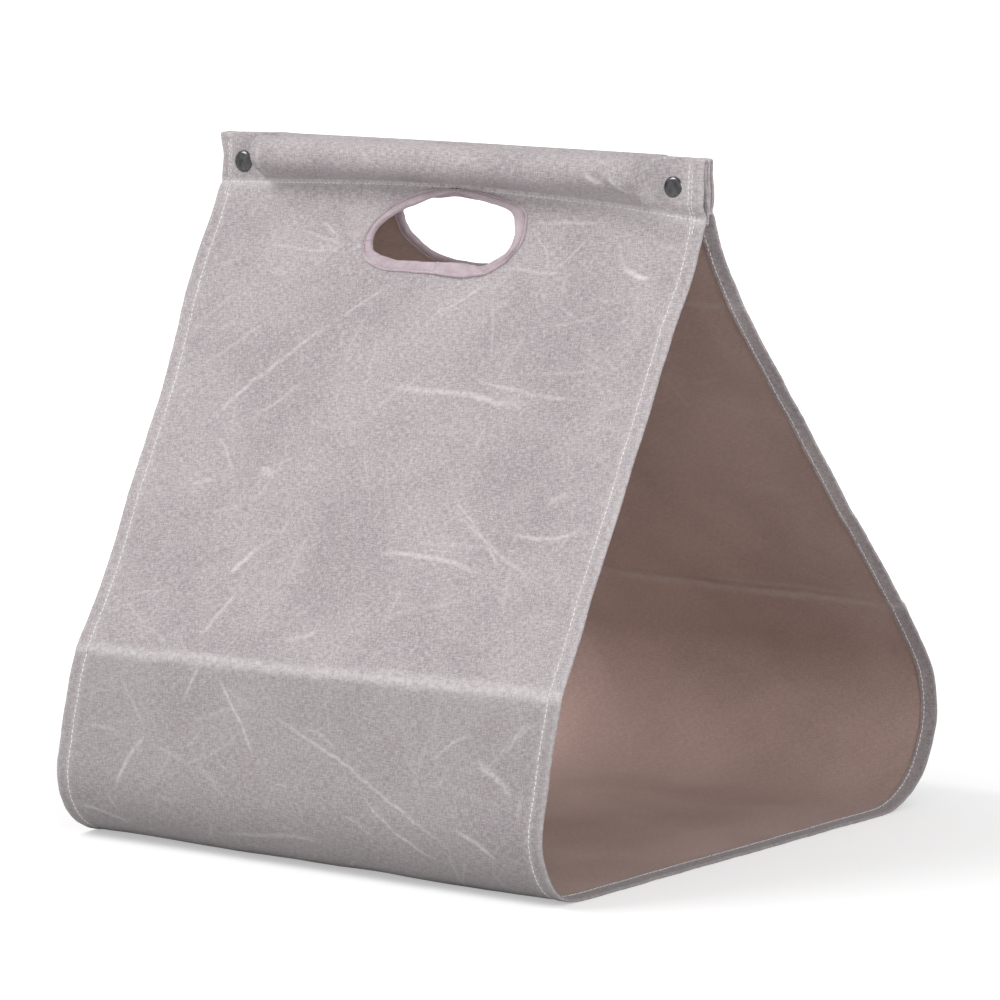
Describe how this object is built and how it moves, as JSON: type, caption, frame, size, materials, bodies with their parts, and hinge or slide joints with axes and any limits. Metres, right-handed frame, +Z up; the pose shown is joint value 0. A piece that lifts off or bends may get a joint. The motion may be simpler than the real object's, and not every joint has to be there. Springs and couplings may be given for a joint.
{
  "type": "log carrier",
  "caption": "Waxed canvas sling for firewood: a floor between two walls that meet at a ridge, each with a bound hand hole and a sleeve over a wooden dowel, joined by press studs.",
  "frame": {"origin": "on the floor, in the middle of the base", "axes": "+X along the ridge and the dowels, +Y from the front wall to the back wall, +Z up"},
  "size_m": [0.4, 0.458, 0.461],
  "materials": {
    "waxed_canvas": "waxed matt canvas",
    "binding_tape": "matt woven tape",
    "dowel_wood": "plain turned wood",
    "cap_metal": "dark polished gunmetal",
    "snap_metal": "dark plated steel"
  },
  "bodies": {
    "floor": {"floor_panel": "waxed_canvas"},
    "front_lower": {"front_lower_panel": "waxed_canvas"},
    "front_wall": {"front_upper_panel": "waxed_canvas", "front_hole_binding": "binding_tape"},
    "front_ridge": {"front_sleeve": "waxed_canvas", "front_dowel": "dowel_wood", "snap_cap_left": "cap_metal", "snap_cap_right": "cap_metal", "snap_socket_left": "snap_metal", "snap_socket_right": "snap_metal", "snap_spring_left": "snap_metal", "snap_spring_right": "snap_metal"},
    "back_lower": {"back_lower_panel": "waxed_canvas"},
    "back_wall": {"back_upper_panel": "waxed_canvas", "back_hole_binding": "binding_tape"},
    "back_ridge": {"back_sleeve": "waxed_canvas", "back_dowel": "dowel_wood", "snap_stud_left": "snap_metal", "snap_stud_right": "snap_metal", "snap_post_left": "snap_metal", "snap_post_right": "snap_metal"}
  },
  "joints": [
    {"name": "front_fold", "type": "hinge", "parent": "floor", "child": "front_lower", "pos_m": [0, -0.2167, 0.0123], "axis": [1, 0, 0], "range_deg": [0, 90]},
    {"name": "front_crease", "type": "hinge", "parent": "front_lower", "child": "front_wall", "pos_m": [0, -0.205, 0.133], "axis": [1, 0, 0], "range_deg": [0, 28]},
    {"name": "front_sleeve_seam", "type": "hinge", "parent": "front_wall", "child": "front_ridge", "pos_m": [0, -0.05325, 0.431], "axis": [1, 0, 0], "range_deg": [-28, 0]},
    {"name": "back_fold", "type": "hinge", "parent": "floor", "child": "back_lower", "pos_m": [0, 0.21025, 0.01875], "axis": [-1, 0, 0], "range_deg": [0, 90]},
    {"name": "back_crease", "type": "hinge", "parent": "back_lower", "child": "back_wall", "pos_m": [0, 0.182, 0.147], "axis": [-1, 0, 0], "range_deg": [0, 44]},
    {"name": "back_sleeve_seam", "type": "hinge", "parent": "back_wall", "child": "back_ridge", "pos_m": [0, -0.04875, 0.431], "axis": [-1, 0, 0], "range_deg": [-44, 0]}
  ],
  "couplings": [
    {"joint": "front_crease", "follows": "front_fold", "ratio": 0.3},
    {"joint": "front_sleeve_seam", "follows": "front_fold", "ratio": -0.3},
    {"joint": "back_crease", "follows": "back_fold", "ratio": 0.477},
    {"joint": "back_sleeve_seam", "follows": "back_fold", "ratio": -0.477}
  ]
}
